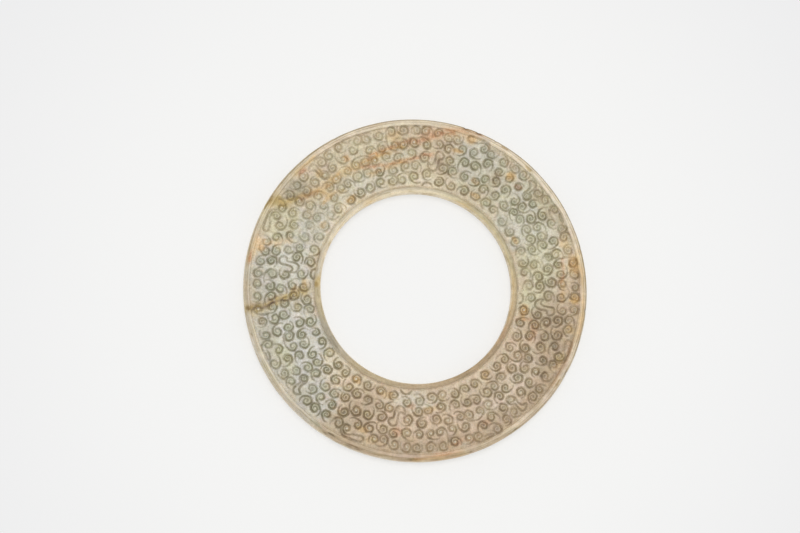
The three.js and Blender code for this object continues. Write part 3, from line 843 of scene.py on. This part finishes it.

# The rims were ground along their length, which left fine streaks. Near the edge they have a
# fine scratched line, and along the edge runs a brown line: the edge's wear, and painted shade
# where the rounded edge turns away, most at the upper right
place_mm = add_node("ShaderNodeSeparateXYZ", Vector=in_mm).outputs
flat = of_vector("MULTIPLY", in_mm, i1=(1, 1, 0))
distance = of_vector("LENGTH", flat, "Value")
outward = of_vector("NORMALIZE", flat)
outward_step = add_node("ShaderNodeCombineXYZ", Z=worked_out("DIVIDE", distance, 0.45))
along_rim = of_vector("ADD", of_vector("SCALE", outward, Scale=7.0), i1=outward_step.outputs[0])
streak = clouds(1.0, 3.0, 0.6, at=along_rim).outputs["Fac"]
on_rim = held("plain_rim")
dark_streak = times(on_rim, ranged(streak, 0.50, 0.72, 0.0, 0.9))
pale_streak = times(on_rim, ranged(streak, 0.28, 0.48, 1.0, 0.0))
colour = shaded(colour, dark_streak, "dark_streak")
colour = shaded(colour, pale_streak, "pale_streak")
lower_left = of_vector("DOT_PRODUCT", outward, "Value", i1=(-0.5, -0.87, 0))
upper = ranged(place_mm["Z"], THICKNESS - 1.6, THICKNESS - 0.9)
wavy = times(clouds(4.0, 2.0).outputs["Fac"], 0.3)
# each line: its radius, how far it is drawn in at the lower left, half its width, its strength
# and how much of that goes from the upper right to the lower left
for line_radius, drop, half_width, strength, fade in (
        (OUTER_RADIUS - 0.62, 0.2, 0.42, 0.87, 0.58), (FINE_LINE_RADIUS - 0.15, 0, 0.3, 0.5, 0)):
    place = worked_out("SUBTRACT", line_radius, times(lower_left, drop))
    off_line = worked_out("SUBTRACT", worked_out("ADD", place, wavy), distance)
    line = ranged(worked_out("ABSOLUTE", off_line), 0.0, half_width, strength, 0.0)
    line = times(line, ranged(streak, 0.3, 0.6, 0.5, 1.0))
    line = times(line, ranged(lower_left, -1.0, 1.0, 1 + fade, 1 - fade))
    # the brown line at the edge is wear and painted shade; the fine line is a scratch
    colour = shaded(colour, times(line, upper), "edge_wear_shade_and_scratch")

# Dark spots on the rims where the edge is chipped or stained: degrees, distance, half length,
# half width, and the colour that the stone is multiplied by
SPOTS = (
    (233, 50.8, 2.6, 0.9, (0.72, 0.76, 0.7)), (239.4, 50.9, 1.6, 0.35, (0.42, 0.36, 0.26)),
    (248, 51.1, 3.2, 0.3, (0.52, 0.46, 0.35)), (268.5, 51.2, 2.4, 0.4, (0.72, 0.74, 0.68)),
    (67.5, 51.4, 1.6, 0.35, (0.42, 0.32, 0.2)), (72.5, 51.4, 1.4, 0.3, (0.5, 0.38, 0.24)),
    (47, 50.6, 2, 0.6, (0.66, 0.58, 0.4)), (57.5, 51.3, 1.6, 0.35, (0.62, 0.52, 0.36)),
    (326, 51, 2.4, 0.4, (0.62, 0.52, 0.38)), (149, 51.3, 2.2, 0.5, (0.6, 0.5, 0.28)),
    (187, 51, 1, 0.9, (0.5, 0.4, 0.22)), (170.5, 50.8, 1.6, 0.8, (0.84, 0.66, 0.48)),
    (213, 30.1, 5, 0.5, (0.8, 0.78, 0.72)), (178, 30.2, 1.2, 0.9, (0.8, 0.7, 0.42)),
)
turned_by = worked_out("ARCTAN2", place_mm["Y"], place_mm["X"])
ragged = times(clouds(0.9, 4.0, 0.6).outputs["Fac"], 1.1)
for degrees, spot_distance, long, wide, shade in SPOTS:
    spot_angle = np.radians((degrees + 180) % 360 - 180)
    along = times(worked_out("SUBTRACT", turned_by, spot_angle), spot_distance / long)
    outwards = times(worked_out("SUBTRACT", distance, spot_distance), 1 / wide)
    off_spot = add_node("ShaderNodeCombineXYZ", X=along, Y=outwards).outputs[0]
    away = worked_out("ADD", of_vector("LENGTH", off_spot, "Value"), ragged)
    colour = shaded(colour, times(ranged(away, 0.8, 1.7, 1.0, 0.0), upper), shade)

# The rough ground has pale and dark grit
grit = clouds(0.55, 3.0, 0.6).outputs["Fac"]
boss_here = held("boss")
on_ground = times(ranged(boss_here, 0.1, 0.7, 1.0, 0.15), ranged(on_rim, 0.2, 0.8, 1.0, 0.0))
colour = shaded(colour, times(on_ground, ranged(grit, 0.48, 0.66)), "pale_grit")
colour = shaded(colour, times(on_ground, ranged(grit, 0.32, 0.50, 1.0, 0.0)), "dark_grit")

# The bosses are painted darker than the rest of the ground, each in a tone of its own, with
# painted shade on the ground round their feet. The grooves are darkened by dirt and painted shade,
# and the buds are painted pale, a painted highlight on each dome
tone_here, grime_and_shade_here = held("tone"), held("grime_and_shade")
fill_here = add_node("ShaderNodeAttribute", {"attribute_name": "fill"}).outputs["Color"]
olive_share = ranged(tone_here, 0.4, 1.0, 0.0, 0.8)
own_fill = blended(olive_share, fill_here, OLIVE_FILL)
depth = times(grime_and_shade_here, ranged(tone_here, 0.0, 1.0, 1.15, 0.75))
deep = times(ranged(boss_here, 0.1, 0.9), depth, clamp=True)
colour = shaded(colour, deep, own_fill)
patchy = ranged(clouds(1.6, 3.0, 0.6).outputs["Fac"], 0.3, 0.6, 0.55, 1.0)
# the grooves and the angles by the rims are darkened: dirt and painted shade
groove_dirt_and_shade = times(times(ranged(held("cut"), 0.05, 0.75), patchy), grime_and_shade_here)
colour = shaded(colour, groove_dirt_and_shade, shaded(fill_here, 1.0, "groove"))
# The pale buds are a painted highlight on each dome
bud_highlight = ranged(held("bud"), 0.2, 0.9, 0.0, 0.7)
colour = blended(bud_highlight, colour, plain_colour(BUD_HIGHLIGHT_COLOUR))

# The bosses are smoother than the rest. A little light goes some way into the stone, red
# furthest, and its grain is felt as a very fine roughness
GROUND_ROUGHNESS = 0.58
BOSS_ROUGHNESS = 0.40
GRAIN_DEPTH = 0.02
LIGHT_SHARE = 0.12
LIGHT_REACH = 0.5
REACH_BY_COLOUR = (1.0, 0.8, 0.5)
JADE_IOR = 1.61
grain = clouds(0.35, 3.0, 0.6).outputs["Fac"]
bump = add_node("ShaderNodeBump", Height=grain, Distance=GRAIN_DEPTH * MM, Strength=0.4)
roughness = ranged(boss_here, 0.1, 0.9, GROUND_ROUGHNESS, BOSS_ROUGHNESS)
finish = add_node("ShaderNodeBsdfPrincipled", {"subsurface_method": "RANDOM_WALK"},
                  Base_Color=colour, Roughness=roughness, Normal=bump.outputs[0], IOR=JADE_IOR,
                  Subsurface_Weight=LIGHT_SHARE, Subsurface_Radius=REACH_BY_COLOUR,
                  Subsurface_Scale=LIGHT_REACH * MM)
add_node("ShaderNodeOutputMaterial", Surface=finish.outputs[0])
carved.materials.append(stone)
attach(disc, "root")
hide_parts("jade_disc")

# The white table that the disc lies on. It is pale card, with painted shade that makes it a little
# darker far from the disc, and part of its white is plain to the camera and in gloss, so that it
# stays even under any light.
TABLE_HALF = 1500
TABLE_DROP = 0.02
CARD_NEAR = (245, 245, 244)
CARD_FAR = (236, 236, 237)
FADE_FROM = 60
FADE_TO = 190
PLAIN_SHARE = 0.6
CARD_ROUGHNESS = 0.9
table_mesh = bpy.data.meshes.new("table")
table_corners = np.array([(-1, -1, 0), (1, -1, 0), (1, 1, 0), (-1, 1, 0)]) * TABLE_HALF
table_mesh.from_pydata((table_corners - (0, 0, TABLE_DROP)) * MM, [], [(0, 1, 2, 3)])
table = bpy.data.objects.new("table", table_mesh)
bpy.context.scene.collection.objects.link(table)
card = bpy.data.materials.new("white_card")
card.use_nodes = True
tree = card.node_tree
tree.nodes.clear()
middle_away = of_vector("LENGTH", add_node("ShaderNodeTexCoord").outputs["Object"], "Value")
# painted shade: the card darkens away from the disc
card_falloff_shade = ranged(middle_away, FADE_FROM * MM, FADE_TO * MM)
card_colour = blended(card_falloff_shade, plain_colour(CARD_NEAR), plain_colour(CARD_FAR))
card_finish = add_node("ShaderNodeBsdfPrincipled", Base_Color=card_colour, Roughness=CARD_ROUGHNESS,
                       Specular_IOR_Level=0.0)
card_glow = add_node("ShaderNodeEmission", Color=card_colour, Strength=1.0)
rays = add_node("ShaderNodeLightPath").outputs
seen = worked_out("MAXIMUM", rays["Is Camera Ray"], rays["Is Glossy Ray"])
seen = worked_out("MAXIMUM", seen, rays["Is Transmission Ray"])
card_mix = add_node("ShaderNodeMixShader", i0=times(seen, PLAIN_SHARE),
                    i1=card_finish.outputs[0], i2=card_glow.outputs[0])
add_node("ShaderNodeOutputMaterial", Surface=card_mix.outputs[0])
table_mesh.materials.append(card)

# The light: a plain white surround, and one soft broad light from nearly overhead, as under a
# window in the roof. The light's spread is an angle in degrees.
SURROUND = 0.68
WINDOW_STRENGTH = 1.02
WINDOW_SPREAD = 24
TOWARD_WINDOW = (-0.03, 0.19, 1.0)
world = bpy.data.worlds.new("surround")
bpy.context.scene.world = world
world.use_nodes = True
background = world.node_tree.nodes["Background"].inputs
background["Color"].default_value = (1, 1, 1, 1)
background["Strength"].default_value = SURROUND
window_light = bpy.data.lights.new("window", "SUN")
window_light.energy = WINDOW_STRENGTH
window_light.angle = np.radians(WINDOW_SPREAD)
window = bpy.data.objects.new("window", window_light)
window.rotation_mode = "QUATERNION"
window.rotation_quaternion = Vector(TOWARD_WINDOW).normalized().to_track_quat("Z", "Y")
bpy.context.scene.collection.objects.link(window)

# The camera looks down from above, a little from the lower left. It is tilted about a line
# through the place that it aims at, and its lens and film width are in millimetres.
CAMERA_DISTANCE = 800
CAMERA_TILT = 10.5
TILT_AXIS_TURN = -38.0
AIM = (-5.0, 6.68, THICKNESS)
FOCAL_LENGTH = 119.8
SENSOR_WIDTH = 36.0
turn = np.radians(TILT_AXIS_TURN)
tilt = Matrix.Rotation(np.radians(CAMERA_TILT), 4, Vector((np.cos(turn), np.sin(turn), 0)))
lens = bpy.data.cameras.new("camera")
lens.lens = FOCAL_LENGTH
lens.sensor_width = SENSOR_WIDTH
lens.clip_start = 0.01
camera = bpy.data.objects.new("camera", lens)
back = Matrix.Translation(Vector((0, 0, CAMERA_DISTANCE)) * MM)
camera.matrix_world = Matrix.Translation(Vector(AIM) * MM) @ tilt @ back
bpy.context.scene.collection.objects.link(camera)
bpy.context.scene.camera = camera

bpy.context.scene.view_settings.view_transform = "Standard"
